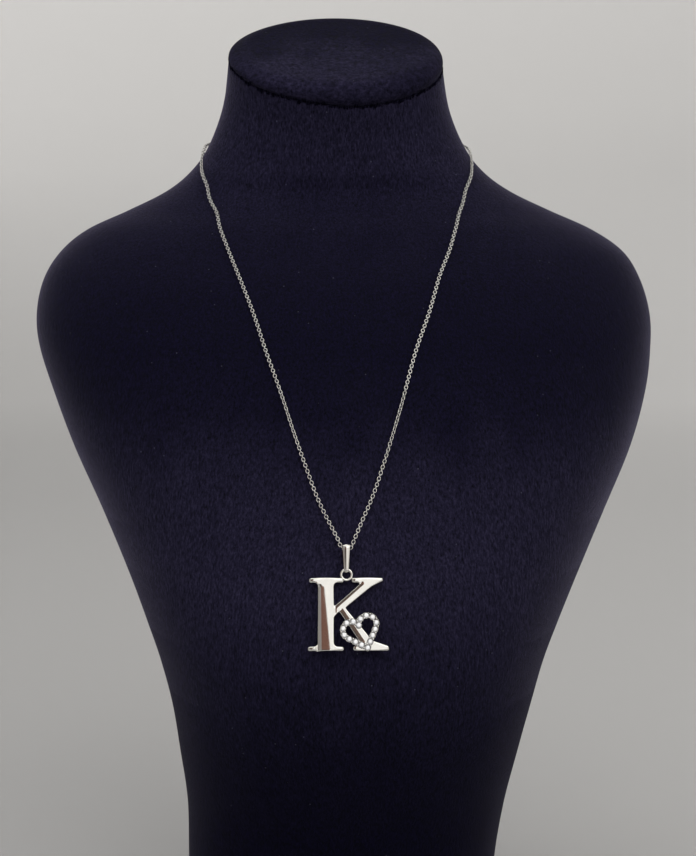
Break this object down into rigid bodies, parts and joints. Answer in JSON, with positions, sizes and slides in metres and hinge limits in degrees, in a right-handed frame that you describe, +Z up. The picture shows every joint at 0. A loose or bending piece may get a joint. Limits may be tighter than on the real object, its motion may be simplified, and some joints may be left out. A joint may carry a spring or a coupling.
{
  "type": "initial pendant necklace on a neck bust",
  "caption": "Serif letter K pendant with an open stone-set heart, on a tapered bail and cable chain round a dark velvet neck bust that stands on a flat base.",
  "frame": {"origin": "middle of the whole object's box, on the base it stands on", "axes": "+Z up, -Y is the front, where the pendant hangs, and +X is to the right of a viewer who faces it"},
  "size_m": [0.2264, 0.1442, 0.3298],
  "materials": {
    "velvet": "dark navy velvet with a fine upright nap",
    "cap_velvet": "the same velvet, padded",
    "chain_silver": "polished silver wire",
    "clasp_silver": "polished silver",
    "bail_silver": "polished silver",
    "letter_silver": "high polish silver",
    "stone": "clear cut stone"
  },
  "bodies": {
    "display": {"bust": "velvet", "neck_cap": "cap_velvet", "chain": "chain_silver", "clasp": "clasp_silver"},
    "bail": {"bail": "bail_silver"},
    "pendant": {"letter": "letter_silver", "stone_01": "stone", "stone_02": "stone", "stone_03": "stone", "stone_04": "stone", "stone_05": "stone", "stone_06": "stone", "stone_07": "stone", "stone_08": "stone", "stone_09": "stone", "stone_10": "stone", "stone_11": "stone", "stone_12": "stone", "stone_13": "stone", "stone_14": "stone", "stone_15": "stone", "stone_16": "stone"}
  },
  "joints": [
    {"name": "bail_swing", "type": "hinge", "parent": "display", "child": "bail", "pos_m": [-0.00079, -0.0591, 0.14755], "axis": [-1, 0, 0], "range_deg": [0, 75]},
    {"name": "pendant_swing", "type": "hinge", "parent": "bail", "child": "pendant", "pos_m": [-0.00079, -0.06082, 0.14133], "axis": [-1, 0, 0], "range_deg": [0, 80]}
  ]
}
